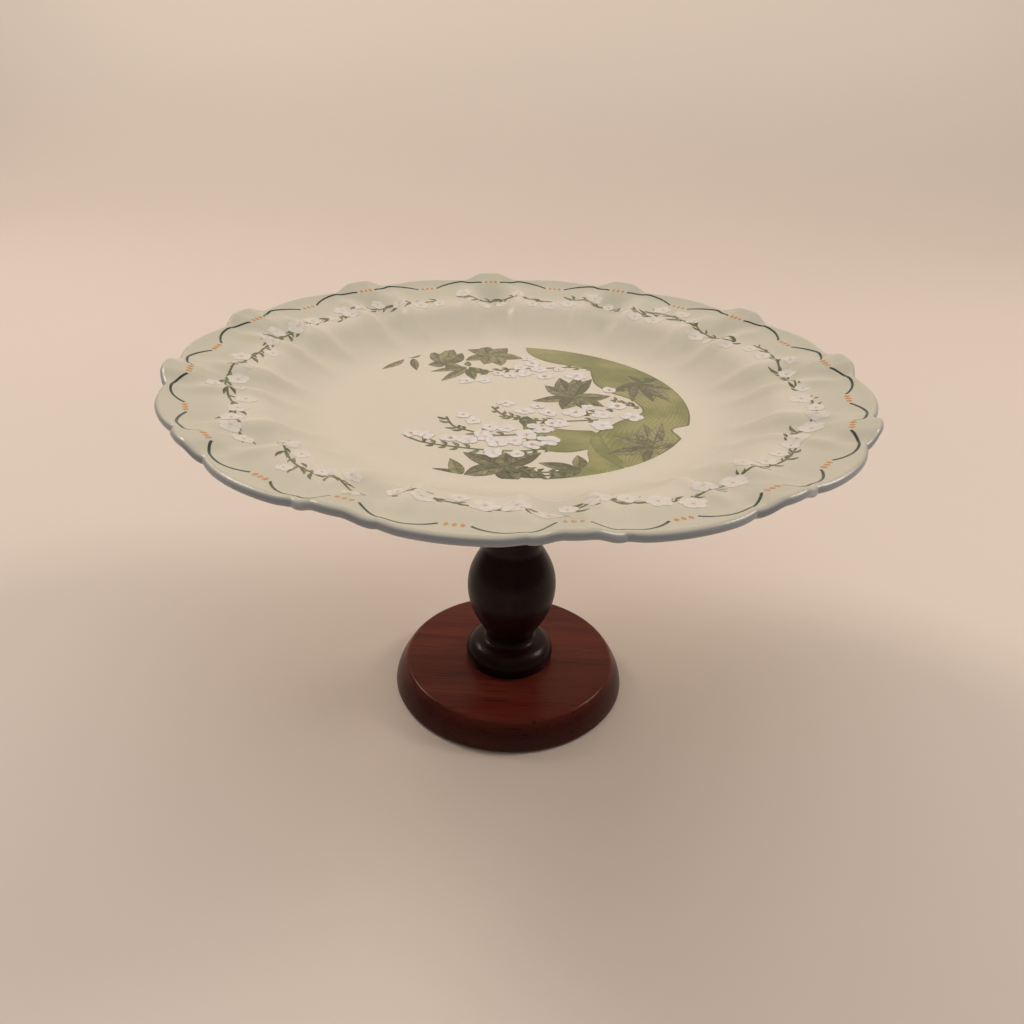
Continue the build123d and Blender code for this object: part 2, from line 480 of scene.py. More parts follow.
def motif_tree():
    """Prints one motif again and again along each path, turned, scaled and set aside by chance."""
    graph, wires = new_tree(
        "Printed motifs",
        {
            "Motif": ("Object", None),
            "Spacing": ("Float", 0.005),
            "Scale Spread": ("Float", 0.0),
            "Turn Spread": ("Float", 0.0),
            "Side Spread": ("Float", 0.0),
            "Seed": ("Int", 0),
            **LAY_INPUTS,
        },
    )
    path = graph.node("GeometryNodeMeshToCurve", sockets={0: wires["Geometry"]})
    spots = graph.node(
        "GeometryNodeResampleCurve", {"mode": "LENGTH"}, {"Curve": path, "Length": wires["Spacing"]}
    )

    def chance(low, high, number):
        return graph.node(
            "FunctionNodeRandomValue",
            {"data_type": "FLOAT"},
            {"Min": low, "Max": high, "Seed": wires["Seed"] + number},
            "Value",
        )

    tangent = graph.node("GeometryNodeInputTangent")
    sideways = graph.vectors("CROSS_PRODUCT", tangent, (0.0, 0.0, 1.0))
    spread = wires["Side Spread"]
    aside = graph.node(
        "GeometryNodeSetPosition",
        sockets={
            "Geometry": spots,
            "Offset": graph.scaled(sideways, chance(-1 * spread, spread, 1)),
        },
    )
    along = graph.node(
        "FunctionNodeAlignRotationToVector", {"axis": "X"}, {"Vector": tangent}
    )
    twist = wires["Turn Spread"]
    turned = graph.node(
        "FunctionNodeRotateRotation",
        {"rotation_space": "LOCAL"},
        {"Rotation": along, "Rotate By": graph.vector(z=chance(-1 * twist, twist, 2))},
    )
    motif = graph.node(
        "GeometryNodeObjectInfo", sockets={"Object": wires["Motif"]}, output="Geometry"
    )
    shrink = wires["Scale Spread"]
    copies = graph.node(
        "GeometryNodeInstanceOnPoints",
        sockets={
            "Points": aside,
            "Instance": motif,
            "Rotation": turned,
            "Scale": chance(1 - shrink, 1 + shrink, 3),
        },
    )
    tinted = store(graph, copies, "tint", chance(0.0, 1.0, 4), "INSTANCE")
    real = graph.node("GeometryNodeRealizeInstances", sockets={0: tinted})
    end_tree(graph, lay_on_glaze(graph, real, wires), wires["Material"])
    return graph.tree


def grow(name, mesh, tree, values):
    """Runs a geometry tree on a mesh and returns the result as a plain object."""
    draft = bpy.data.objects.new(name + "_draft", mesh)
    bpy.context.scene.collection.objects.link(draft)
    modifier = draft.modifiers.new("shape", "NODES")
    modifier.node_group = tree
    identifiers = {
        item.name: item.identifier
        for item in tree.interface.items_tree
        if item.item_type == "SOCKET" and item.in_out == "INPUT"
    }
    for label, value in values.items():
        modifier[identifiers[label]] = value
    depsgraph = bpy.context.evaluated_depsgraph_get()
    result = bpy.data.meshes.new_from_object(draft.evaluated_get(depsgraph))
    bpy.data.objects.remove(draft)
    if not result.polygons:
        raise RuntimeError(f"{name} came out empty")
    result.name = name
    piece = bpy.data.objects.new(name, result)
    bpy.context.scene.collection.objects.link(piece)
    return piece


def shared_tree(builder):
    """Each kind of geometry tree is built once and used by every piece that needs it."""
    key = builder.__name__
    if key not in TREES:
        TREES[key] = builder()
    return TREES[key]


def join_stand(piece, slot, *nodes):
    """Fixes a finished piece to the stand's one body, in place of the CAD nodes it stands for."""
    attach(piece, BODY)
    if nodes:
        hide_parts(*nodes)


# ---------------------------------------------------------------- drawing, in millimetres


class Pencil:
    """Draws a lathe section point by point as (radius, height), in millimetres, and keeps the
    direction it moves in."""

    def __init__(self, radius, height):
        self.points = [(radius, height)]
        self.heading = 0.0

    def line(self, length, steps=1):
        direction = math.radians(self.heading)
        radius, height = self.points[-1]
        for step in range(1, steps + 1):
            reach = length * step / steps
            self.points.append(
                (radius + reach * math.cos(direction), height + reach * math.sin(direction))
            )
        return self

    def arc(self, radius, turn, steps):
        """Turns by so many degrees, to the left where turn is positive."""
        for _ in range(steps):
            part = turn / steps
            chord = 2 * radius * math.sin(math.radians(abs(part)) / 2)
            self.heading += part / 2
            self.line(chord)
            self.heading += part / 2
        return self

    def to(self, radius, height, steps=1):
        """A straight run to a point."""
        here = self.points[-1]
        self.heading = math.degrees(math.atan2(height - here[1], radius - here[0]))
        return self.line(math.hypot(radius - here[0], height - here[1]), steps)

    def curve(self, first, second, end, steps):
        """A Bezier curve from here, pulled by two points."""
        start = self.points[-1]
        for step in range(1, steps + 1):
            t = step / steps
            weights = ((1 - t) ** 3, 3 * t * (1 - t) ** 2, 3 * t * t * (1 - t), t ** 3)
            corners = (start, first, second, end)
            self.points.append(
                tuple(sum(w * p[axis] for w, p in zip(weights, corners)) for axis in (0, 1))
            )
        last, here = self.points[-2:]
        self.heading = math.degrees(math.atan2(here[1] - last[1], here[0] - last[0]))
        return self

    def mesh(self, name):
        mesh = bpy.data.meshes.new(name)
        points = [(radius * MM, 0.0, height * MM) for radius, height in self.points]
        mesh.from_pydata(points, [], [])
        return mesh


def path_mesh(name, paths):
    """Paths in the plate's plan, in millimetres, as the edges of one mesh."""
    points, edges = [], []
    for path in paths:
        first = len(points)
        points.extend((x * MM, y * MM, 0.0) for x, y in path)
        edges.extend((first + n, first + n + 1) for n in range(len(path) - 1))
    mesh = bpy.data.meshes.new(name)
    mesh.from_pydata(points, edges, [])
    return mesh


def polar(radius, degrees):
    return (radius * math.cos(math.radians(degrees)), radius * math.sin(math.radians(degrees)))


class Drawing:
    """Flat printed shapes in the plate's plan, in millimetres. Each shape is a strip that lies
    over the one before, and whose points know how far across it (-1 to 1) and along it (0 to 1)
    they are."""

    COLUMNS = (-1.0, -0.5, 0.0, 0.5, 1.0)
    LAYER = 0.0004
    PETALS = 5

    def __init__(self, trim_radius=None, seed=1):
        self.trim_radius = trim_radius
        self.chance = random.Random(seed)
        self.points, self.faces = [], []
        self.across, self.along, self.tint = [], [], []
        self.layer = 0.0

    def strip(self, left, right, tint=None):
        """The area between two lines of as many points each."""
        tint = self.chance.random() if tint is None else tint
        first = len(self.points)
        self.layer += self.LAYER
        inside = []
        for row, (one, other) in enumerate(zip(left, right)):
            for column in self.COLUMNS:
                blend = (column + 1) / 2
                x = one[0] + (other[0] - one[0]) * blend
                y = one[1] + (other[1] - one[1]) * blend
                reach = math.hypot(x, y)
                inside.append(self.trim_radius is None or reach < self.trim_radius)
                if not inside[-1]:
                    x, y = x * self.trim_radius / reach, y * self.trim_radius / reach
                self.points.append((x * MM, y * MM, self.layer * MM))
                self.across.append(column)
                self.along.append(row / (len(left) - 1))
                self.tint.append(tint)
        width = len(self.COLUMNS)
        for row in range(len(left) - 1):
            for column in range(width - 1):
                corner = row * width + column
                corners = (corner, corner + 1, corner + width + 1, corner + width)
                if any(inside[n] for n in corners):
                    self.faces.append(tuple(first + n for n in corners))

    def blade(self, base, tip, width, bend=0.0, belly=0.8, tint=None, steps=9):
        """A leaf or petal from base to tip. Bend moves its middle aside, and belly under 1 puts
        its widest part near the base, over 1 near the tip."""
        run = (tip[0] - base[0], tip[1] - base[1])
        length = math.hypot(*run)
        side = (-run[1] / length, run[0] / length)
        left, right = [], []
        for step in range(steps + 1):
            t = step / steps
            bow = bend * 4 * t * (1 - t)
            half = width / 2 * max(math.sin(math.pi * t ** belly) ** 0.9, 0.03)
            x = base[0] + run[0] * t + side[0] * bow
            y = base[1] + run[1] * t + side[1] * bow
            left.append((x + side[0] * half, y + side[1] * half))
            right.append((x - side[0] * half, y - side[1] * half))
        self.strip(left, right, tint)

    def fan(self, centre, tips, width):
        """A leaf of several fingers that share one foot."""
        shade = self.chance.uniform(0.2, 0.8)
        for tip in tips:
            bend = self.chance.uniform(-1.2, 1.2)
            tint = min(max(shade + self.chance.uniform(-0.25, 0.25), 0.0), 1.0)
            self.blade(centre, tip, width * self.chance.uniform(0.85, 1.1), bend, tint=tint)

    def flower(self, centre, size):
        """Round petals about a centre."""
        turn = self.chance.uniform(0, 360)
        for petal in range(self.PETALS):
            reach = size / 2 * self.chance.uniform(0.7, 1.15)
            place = petal + self.chance.uniform(-0.15, 0.15)
            way = polar(reach, turn + place * 360 / self.PETALS)
            tip = (centre[0] + way[0], centre[1] + way[1])
            self.blade(centre, tip, size * self.chance.uniform(0.4, 0.55), belly=1.5, steps=6)

    def disc(self, centre, radius):
        """A round dot."""
        left, right = (centre[0] - radius, centre[1]), (centre[0] + radius, centre[1])
        self.blade(left, right, radius * 2, belly=1.0, steps=8)

    def mesh(self, name):
        """The drawing as a mesh that faces up."""
        mesh = bpy.data.meshes.new(name)
        mesh.from_pydata(self.points, [], self.faces)
        for label in ("across", "along", "tint"):
            attribute = mesh.attributes.new(label, "FLOAT", "POINT")
            attribute.data.foreach_set("value", getattr(self, label))
        if mesh.polygons[0].normal.z < 0:
            mesh.flip_normals()
        mesh.update()
        return mesh


# ---------------------------------------------------------------- materials


def new_material(name):
    material = bpy.data.materials.new(name)
    material.use_nodes = True
    return material, Graph(material.node_tree)


def surface(graph, **sockets):
    """Ends a material in one Principled surface. Socket names have underscores for spaces."""
    named = {label.replace("_", " "): value for label, value in sockets.items()}
    shader = graph.node("ShaderNodeBsdfPrincipled", sockets=named, output="BSDF")
    graph.node("ShaderNodeOutputMaterial", sockets={"Surface": shader})


INK_ROUGHNESS = 0.2


def glaze_skin(graph):
    """The uneven, orange-peel surface that the glaze gives the pot and the print under it."""
    fine = graph.noise(1100.0, detail=2.0)
    broad = graph.noise(70.0, detail=1.0)
    skin = graph.bump(broad, 0.06 * MM)
    return graph.bump(fine, 0.035 * MM, normal=skin)


def glazed(graph, colour, roughness):
    """Ends a material in a colour under clear glaze."""
    surface(
        graph,
        Base_Color=colour,
        Roughness=roughness,
        Normal=glaze_skin(graph),
        IOR=1.52,
        Specular_IOR_Level=0.5,
    )


def cream_glaze(look):
    """Cream glaze, greener and darker where it pools in the flutes plus painted shade over the
    narrow lobes, well wall and flange, lighter over ridges where it thins plus a painted highlight
    there, painted blue-grey shade on the rim's downward-facing edge, and a bare, gritty foot ring."""
    material, graph = new_material("cream_glaze")
    cloud = graph.noise(14.0, detail=3.0)
    flecks = graph.smooth(graph.noise(700.0, detail=0.0), 0.74, 0.79)
    body = graph.mix(cloud, look.glaze_colour, look.glaze_shade)
    # Greener, darker glaze where it pools in the flutes, and painted shade on the narrow lobes,
    # well wall and flange.
    pooled_and_shaded = graph.mix(graph.attribute("glaze_pool") * 0.75, body, look.glaze_pool)
    # Lighter where the glaze thins over ridges, and a painted highlight along them.
    thin_and_highlight = graph.mix(graph.attribute("ridge") * 0.25, pooled_and_shaded, look.glaze_thin_and_highlight)
    # Painted blue-grey shade on the downward-facing rim edge.
    edged = graph.mix(graph.attribute("rim_edge") * 0.85, thin_and_highlight, look.rim_shade_colour)
    flecked = graph.mix(flecks * 0.07, edged, look.fleck_colour)
    _, _, height = graph.axes(graph.place())
    grit = graph.noise(500.0) * BARE_EDGE * MM
    bare_top = PLATE_LOW.z + BARE_HEIGHT * MM
    bare = 1 - graph.smooth(height + grit, bare_top, bare_top + BARE_EDGE * MM)
    colour = graph.mix(bare, flecked, look.bisque_colour)
    glazed(graph, colour, (0.24 + cloud * 0.1) * (1 - bare) + bare * 0.85)
    return material


def leaf_ink(name, pale, dark, vein, parallel=False):
    """Printed leaf: a dark midrib and side veins, or parallel veins on a strap leaf, with
    shading that fades towards the edge and a thin dark outline."""
    material, graph = new_material(name)
    across, along = graph.attribute("across"), graph.attribute("along")
    tint = graph.attribute("tint")
    mottle = graph.noise(420.0, detail=4.0, roughness=0.7)
    side = abs(across)
    if parallel:
        wash = graph.noise(45.0, detail=2.0)
        lines = graph.maths("SINE", across * 46.0 + mottle * 3.0)
        veins = graph.smooth(lines, 0.2, 1.0) * 0.35
        shade = graph.smooth(wash + mottle * 0.25 + side * 0.06 + tint * 0.2, 0.58, 0.86)
    else:
        lines = graph.maths("SINE", (along * 7.0 - side * 1.5) * (2 * math.pi))
        rib = 1 - graph.smooth(side, 0.03, 0.13)
        veins = graph.maths("MAXIMUM", graph.smooth(lines, 0.6, 1.0) * 0.5, rib * 0.85)
        turned_side = graph.smooth(across, -0.1, 0.25) * 0.16
        shade = graph.smooth(mottle + tint * 0.3 + turned_side - along * 0.1, 0.42, 0.86)
    outline = graph.smooth(side, 0.88, 0.98) * 0.7
    body = graph.mix(shade, pale, dark)
    lined = graph.mix(veins, body, vein)
    colour = graph.mix(outline, lined, vein)
    glazed(graph, colour, INK_ROUGHNESS)
    return material


def petal_ink(name, petal, edge, blush):
    """Printed petal: nearly white, with a soft outline and a blush towards the heart."""
    material, graph = new_material(name)
    side, along = abs(graph.attribute("across")), graph.attribute("along")
    wash = graph.noise(500.0, detail=3.0)
    outline = graph.maths("MAXIMUM", graph.smooth(side, 0.72, 1.0), graph.smooth(along, 0.9, 1.0))
    body = graph.mix(graph.smooth(wash, 0.4, 0.72) * 0.55, petal, edge)
    edged = graph.mix(outline * 0.6, body, edge)
    colour = graph.mix((1 - graph.smooth(along, 0.05, 0.4)) * 0.45, edged, blush)
    glazed(graph, colour, INK_ROUGHNESS)
    return material


def line_ink(name, colour, worn, spread=0.0):
    """Plain printed colour, a little uneven and fading from shape to shape by the spread."""
    material, graph = new_material(name)
    patch = graph.noise(900.0, detail=3.0, roughness=0.6)
    faded = graph.smooth(patch, 0.45, 0.8) * 0.5
    if spread:
        chance = graph.smooth(graph.attribute("tint"), 0.1, 0.7)
        faded = graph.maths("MAXIMUM", faded, chance * spread)
    mixed = graph.mix(faded, colour, worn)
    glazed(graph, mixed, INK_ROUGHNESS)
    return material


def stained_wood(name, stain, pale, dark, upright, gloss, edge=None):
    """Stained and lacquered wood with its grain upright or along X: growth bands, fine fibres,
    open pores, the fine rings that the lathe left, and painted shade outside the edge radius, on
    the foot's side."""
    material, graph = new_material(name)
    grain = (1.0, 1.0, 0.07) if upright else (0.07, 1.0, 1.0)
    wander = graph.noise(40.0, detail=3.0, roughness=0.6, at=graph.place(grain))
    bands = graph.maths("SINE", wander * 26.0) * 0.5 + 0.5
    fibre = graph.noise(900.0, detail=3.0, roughness=0.7, at=graph.place(grain))
    pore_grain = (1.0, 1.0, 0.03) if upright else (0.03, 1.0, 1.0)
    pores = graph.smooth(graph.noise(1500.0, detail=1.0, at=graph.place(pore_grain)), 0.62, 0.72)
    patch = graph.noise(18.0, detail=2.0)
    x, y, height = graph.axes(graph.place())
    body = graph.mix(bands * 0.45 + 0.1 + (fibre - 0.5) * 0.7, stain, pale)
    patched = graph.mix(graph.smooth(patch, 0.35, 0.7) * 0.6, body, stain)
    radius = graph.maths("SQRT", x * x + y * y)
    # Painted shade: the side outside the edge radius is darkened, as it faces away from the lamps.
    if edge:
        side_shade = graph.smooth(radius, edge, edge + 0.004)
        patched = graph.mix(side_shade * 0.6, patched, dark)
    colour = graph.mix(pores * 0.7, patched, dark)
    turned = height if upright else radius
    rings = graph.noise(2600.0, detail=1.0, at=graph.vector(turned))
    ring_bump = graph.bump(rings, 0.02 * MM, 0.5)
    normal = graph.bump(fibre - pores * 0.6, 0.03 * MM, 0.6, ring_bump)
    surface(
        graph,
        Base_Color=colour,
        Roughness=gloss + fibre * 0.12,
        Normal=normal,
        Specular_IOR_Level=0.12,
        Coat_Weight=0.12,
        Coat_Roughness=0.14,
        Coat_IOR=1.45,
    )
    return material


def bright_zinc():
    """Zinc plate with fine wire-drawn streaks."""
    material, graph = new_material("bright_zinc")
    streak = graph.noise(3000.0, detail=2.0, at=graph.place((1.0, 1.0, 0.2)))
    colour = graph.mix(streak, (0.62, 0.63, 0.62), (0.78, 0.78, 0.74))
    surface(
        graph,
        Base_Color=colour,
        Metallic=1.0,
        Roughness=0.24 + streak * 0.16,
        Normal=graph.bump(streak, 0.01 * MM, 0.5),
    )
    return material


def clear_adhesive():
    """Cured household adhesive, milky and slightly wavy."""
    material, graph = new_material("clear_adhesive")
    wave = graph.noise(260.0, detail=2.0)
    colour = graph.mix(wave, (0.62, 0.6, 0.53), (0.8, 0.78, 0.7))
    waves = graph.bump(wave, 0.1 * MM, 0.6)
    surface(graph, Base_Color=colour, Roughness=0.22 + wave * 0.2, Normal=waves)
    return material


def pressed_felt():
    """Black pressed felt: a tangle of fibres with a dull sheen."""
    material, graph = new_material("pressed_felt")
    tangle = graph.noise(1800.0, detail=5.0, roughness=0.75, distortion=1.5)
    colour = graph.mix(graph.smooth(tangle, 0.4, 0.75), (0.012, 0.012, 0.013), (0.05, 0.05, 0.052))
    surface(
        graph,
        Base_Color=colour,
        Roughness=0.95,
        Sheen_Weight=0.4,
        Sheen_Roughness=0.5,
        Normal=graph.bump(tangle, 0.25 * MM, 0.9),
    )
    return material


def pale_studio(name, floor, wall):
    """Matt pale board, lighter where it climbs into the wall."""
    material, graph = new_material(name)
    tone = graph.noise(3.0, detail=2.0)
    shade = tuple(channel * 0.96 for channel in floor)
    _, _, height = graph.axes(graph.place())
    ground = graph.mix(tone, floor, shade)
    colour = graph.mix(graph.smooth(height, 0.02, 0.35), ground, wall)
    surface(graph, Base_Color=colour, Roughness=0.6)
    return material


# ---------------------------------------------------------------- what a user would change


def length(name, description, millimetres):
    return FloatProperty(
        name=name, description=description, default=millimetres * MM, unit="LENGTH", precision=4
    )


def in_degrees(name, description, value):
    return FloatProperty(name=name, description=description, default=value)


def whole_number(name, description, value):
    return IntProperty(name=name, description=description, default=value)


def colour(name, description, value):
    return FloatVectorProperty(
        name=name, description=description, default=value, subtype="COLOR", min=0.0, max=1.0
    )


class PlateSizes(bpy.types.PropertyGroup):
    """Sizes of the plate's section and of its lobes."""

    thickness: length("Thickness", "Thickness of the plate's wall", 4.5)
    edge: length("Edge", "Thickness of the rounded edge of the rim", 3.3)
    well_floor: length("Well Floor", "Radius of the flat middle", 68.0)
    cove: length("Cove", "Radius of the curve from the floor up to the wall", 45.0)
    wall_angle: in_degrees("Wall Angle", "Slope of the well's wall", 30.0)
    wall: length("Wall", "Straight part of the well's wall", 3.5)
    shoulder: length("Shoulder", "Radius of the curve over onto the flange", 18.0)
    flange_angle: in_degrees("Flange Angle", "Slope of the flange", 6.0)
    flange: length("Flange", "Width of the flange before its edge turns up", 20.0)
    upturn: length("Upturn", "Radius of the turned-up edge", 30.0)
    upturn_angle: in_degrees("Upturn Angle", "How far the edge turns up", 14.0)
    lip: length("Lip", "Straight part before the rounded edge", 1.4)
    foot_ring_inner: length("Foot Ring Inner", "Inner radius of the foot ring", 64.0)
    foot_ring_outer: length("Foot Ring Outer", "Outer radius of the foot ring", 69.0)
    lobe_pairs: whole_number("Lobe Pairs", "Pairs of a narrow and a wide lobe", 12)
    first_notch: in_degrees("First Notch", "Angle of the notch that starts a narrow lobe", 1.5)
    narrow_angle: in_degrees("Narrow Angle", "Angle that a narrow lobe takes", 12.0)
    notch_depth: length("Notch Depth", "How far the notches are drawn in", 2.6)
    ridge_height: length("Ridge Height", "Height of the ridges that run in from the notches", 1.9)
    ridge_width: length("Ridge Width", "Half width of a ridge", 4.2)
    ear_height: length("Ear Height", "How far the narrow lobes stand up at the rim", 3.3)
    ear_edge: length("Ear Edge", "How far in from a notch a narrow lobe is at full height", 10.0)
    flute_depth: length("Flute Depth", "Depth of the flute inside each narrow lobe", 1.2)
    dome_height: length("Dome Height", "How far the wide lobes swell", 0.7)


class PrintSizes(bpy.types.PropertyGroup):
    """Sizes of the printed border and of the round print in the middle."""

    ring: length("Dot Ring", "Radius of the circle that the border dots stand on", 121.5)
    dot_groups: whole_number("Dot Groups", "Groups of three dots", 24)
    dot_spacing: length("Dot Spacing", "From dot to dot in a group", 2.3)
    dot_width: length("Dot Width", "Width of a dot along the rim", 1.5)
    dot_length: length("Dot Length", "Length of a dot across the rim", 2.2)
    swag_gap: length("Swag Gap", "From the middle of a dot group to the end of the line", 4.6)
    swag_bulge: length("Swag Bulge", "How far the line between dots swings out", 4.6)
    line_width: length("Line Width", "Width of the border line", 0.85)
    vine_ring: length("Vine Ring", "Radius of the circle that the vine follows", 107.0)
    vine_sprays: whole_number("Vine Sprays", "Sprays round the border", 13)
    centre_radius: length("Centre Print", "Radius that trims the print in the middle", 66.8)
    centre_place: FloatVectorProperty(
        name="Centre Place",
        description="Where the middle of the print lies, from the middle of the plate",
        size=2,
        default=(-0.8 * MM, 0.8 * MM),
        unit="LENGTH",
        precision=4,
    )


class Finishes(bpy.types.PropertyGroup):
    """Colours of the glaze, inks and stains."""

    glaze_colour: colour("Glaze", "Cream of the glaze", (0.77, 0.71, 0.60))
    glaze_shade: colour("Glaze Shade", "Darker clouds in the glaze", (0.725, 0.665, 0.555))
    # Colour of the glaze pooling in the flutes and of the painted shade on the narrow lobes, well
    # wall and flange.
    glaze_pool: colour("Glaze Pool", "Where the glaze pools in the flutes", (0.525, 0.52, 0.42))
    # Colour of the thinning glaze over ridges, with a painted highlight.
    glaze_thin_and_highlight: colour("Glaze Thin And Highlight", "Where the glaze thins over ridges", (0.84, 0.76, 0.62))
    # Colour of the painted shade on the rim's downward-facing edge.
    rim_shade_colour: colour("Rim Painted Shade", "Blue-grey of the rim's edge", (0.30, 0.335, 0.39))
    fleck_colour: colour("Flecks", "Iron flecks in the glaze", (0.35, 0.26, 0.16))
    bisque_colour: colour("Bisque", "Bare clay of the foot ring", (0.62, 0.50, 0.36))
    line_colour: colour("Border Line", "Border line's green-black ink", (0.022, 0.045, 0.036))
    dot_colour: colour("Border Dots", "Border dots' orange ink", (0.62, 0.27, 0.08))
    leaf_pale: colour("Leaf Pale", "Light parts of the leaves", (0.36, 0.34, 0.19))
    leaf_dark: colour("Leaf Dark", "Dark parts of the leaves", (0.125, 0.13, 0.07))
    leaf_vein: colour("Leaf Vein", "Veins and outlines of the leaves", (0.055, 0.064, 0.036))
    strap_pale: colour("Strap Pale", "Light parts of the strap leaf", (0.37, 0.36, 0.15))
    strap_dark: colour("Strap Dark", "Dark parts of the strap leaf", (0.225, 0.245, 0.09))
    stem_colour: colour("Stems", "Stems", (0.14, 0.165, 0.08))
    petal_colour: colour("Petals", "Petals", (0.82, 0.80, 0.78))
    petal_edge: colour("Petal Edge", "Outlines of the petals", (0.60, 0.555, 0.54))
    petal_blush: colour("Petal Blush", "Petals near the heart", (0.76, 0.66, 0.60))
    heart_colour: colour("Hearts", "Hearts of the flowers", (0.62, 0.34, 0.22))
    vine_petal: colour("Vine Petals", "Petals of the vine", (0.78, 0.74, 0.67))
    vine_petal_edge: colour("Vine Petal Edge", "Outlines of its petals", (0.61, 0.575, 0.55))
    vine_blush: colour("Vine Blush", "The vine's petals near the heart", (0.75, 0.67, 0.58))
    vine_heart: colour("Vine Hearts", "Hearts of the vine's flowers", (0.70, 0.52, 0.40))
    vine_heart_worn: colour("Worn Vine Hearts", "Hearts where the ink is thin", (0.76, 0.69, 0.58))
    foot_stain: colour("Foot Stain", "Red-brown stain of the foot", (0.100, 0.0160, 0.0100))
    foot_pale: colour("Foot Pale", "Lighter grain of the foot", (0.215, 0.043, 0.021))
    post_stain: colour("Post Stain", "Black-brown stain of the pedestal", (0.0130, 0.0026, 0.0034))
    post_pale: colour("Post Pale", "Lighter grain of the pedestal", (0.024, 0.0072, 0.0060))
    pore_colour: colour("Pores", "Pores of the wood", (0.004, 0.002, 0.002))


def stand_settings():
    return bpy.context.scene.cake_stand


# ---------------------------------------------------------------- pieces


class CAKESTAND_OT_plate(bpy.types.Operator):
    """Throw the scalloped plate"""

    bl_idname = "cake_stand.plate"
    bl_label = "Plate"

    def execute(self, context):
        sizes, look = stand_settings().plate, stand_settings().finishes
        settings = {
            "Segments": 720,
            "Lobe Pairs": sizes.lobe_pairs,
            "First Notch": sizes.first_notch,
            "Narrow Angle": sizes.narrow_angle,
            "Notch Depth": sizes.notch_depth,
            "Ridge Height": sizes.ridge_height,
            "Ridge Width": sizes.ridge_width,
            "Ear Height": sizes.ear_height,
            "Ear Edge": sizes.ear_edge,
            "Flute Depth": sizes.flute_depth,
            "Dome Height": sizes.dome_height,
            "Material": cream_glaze(look),
        }
        section = plate_section(sizes)
        settings["Rim Radius"] = max(radius for radius, _ in section.points) * MM
        mesh = section.mesh("plate_section")
        piece = grow("scalloped_plate", mesh, shared_tree(plate_tree), settings)
        join_stand(piece, "glazed_stoneware", "plate")
        return {"FINISHED"}


def plate_section(sizes):
    """The plate's section, from the middle of its underside round the rim to the middle of
    the well."""
    thick, edge = sizes.thickness / MM, sizes.edge / MM
    underside = PLATE_LOW.z / MM + FOOT_RING_HEIGHT
    wall, flange = sizes.wall_angle, sizes.flange_angle
    upper = Pencil(0.0, underside + thick).to(sizes.well_floor / MM, underside + thick, 4)
    upper.arc(sizes.cove / MM, wall, 14).line(sizes.wall / MM, 3)
    upper.arc(sizes.shoulder / MM, flange - wall, 8).line(sizes.flange / MM, 16)
    upper.arc(sizes.upturn / MM, sizes.upturn_angle, 6).line(sizes.lip / MM)
    tilt = math.radians(upper.heading)
    lip = upper.points[-1]
    below = (lip[0] + edge * math.sin(tilt), lip[1] - edge * math.cos(tilt))

    ring_middle = (sizes.foot_ring_inner + sizes.foot_ring_outer) / 2 / MM
    ring_half = (sizes.foot_ring_outer - sizes.foot_ring_inner) / 2 / MM + 0.6
    lead = math.degrees(
        math.asin((ring_middle + ring_half - sizes.well_floor / MM) / (sizes.cove / MM + thick))
    )
    lower = Pencil(0.0, underside).to(ring_middle - ring_half, underside, 4)
    for step in range(1, 16):
        share = step / 15 * 2 - 1
        drop = FOOT_RING_HEIGHT * (1 - share ** 4) ** 0.7
        lower.to(ring_middle + share * ring_half, underside - drop)
    lower.heading = lead
    lower.arc(sizes.cove / MM + thick, wall - lead, 10).line(sizes.wall / MM, 2)
    lower.arc(sizes.shoulder / MM - thick, flange - wall, 6)
    start, slope = lower.points[-1], math.radians(flange)
    pull = (start[0] + 14 * math.cos(slope), start[1] + 14 * math.sin(slope))
    push = (below[0] - 7 * math.cos(tilt), below[1] - 7 * math.sin(tilt))
    lower.curve(pull, push, below, 14)
    lower.heading = upper.heading
    lower.arc(edge / 2, 180, 12)
    lower.points += reversed(upper.points[:-1])
    return lower


def turn_piece(name, section, segments, material, slot, cad_node):
    """Turns a section on the lathe and puts it on the stand in place of its CAD node."""
    values = {"Segments": segments, "Material": material}
    piece = grow(name, section.mesh(name + "_section"), shared_tree(lathe_tree), values)
    join_stand(piece, slot, cad_node)


class CAKESTAND_OT_pedestal(bpy.types.Operator):
    """Turn the pedestal's column and its mounting disc"""

    bl_idname = "cake_stand.pedestal"
    bl_label = "Pedestal"

    def execute(self, context):
        look = stand_settings().finishes
        slot = "ebony_stained_wood"
        stain = stained_wood(slot, look.post_stain, look.post_pale, look.pore_colour, True, 0.3)
        turn_piece("turned_column", column_section(), 192, stain, slot, "column")
        turn_piece("turned_mounting_disc", disc_section(), 192, stain, slot, "mounting_disc")
        return {"FINISHED"}


def column_section():
    """Foot bead, waist, ball, ring, trumpet and lip, from the base disc up to the mounting disc."""
    low, high = BASE_HIGH.z / MM, DISC_LOW.z / MM
    pencil = Pencil(0.0, low)
    pencil.to(18.42, low, 2)
    pencil.heading = 64.6
    pencil.arc(7.0, 105.4, 22)
    pencil.curve((10.6, low + 10.2), (10.4, low + 11.4), (10.4, low + 12.6), 8)
    pencil.curve((10.6, low + 16.6), (19.0, low + 24.0), (19.0, low + 37.5), 30)
    pencil.curve((19.0, low + 46.0), (15.2, low + 51.0), (12.2, low + 56.5), 20)
    pencil.to(12.16, low + 63.76, 4)
    pencil.heading = 10.0
    pencil.arc(3.8, 160, 18)
    pencil.curve((11.2, low + 71.7), (11.2, low + 72.4), (11.2, low + 73.0), 5)
    lip = high - 4.0
    pencil.curve((11.4, low + 83.0), (15.0, lip - 3.0), (24.0, lip), 24)
    pencil.curve((24.9, lip + 0.6), (24.9, high - 0.9), (24.3, high), 8)
    return pencil.to(0.0, high, 2)


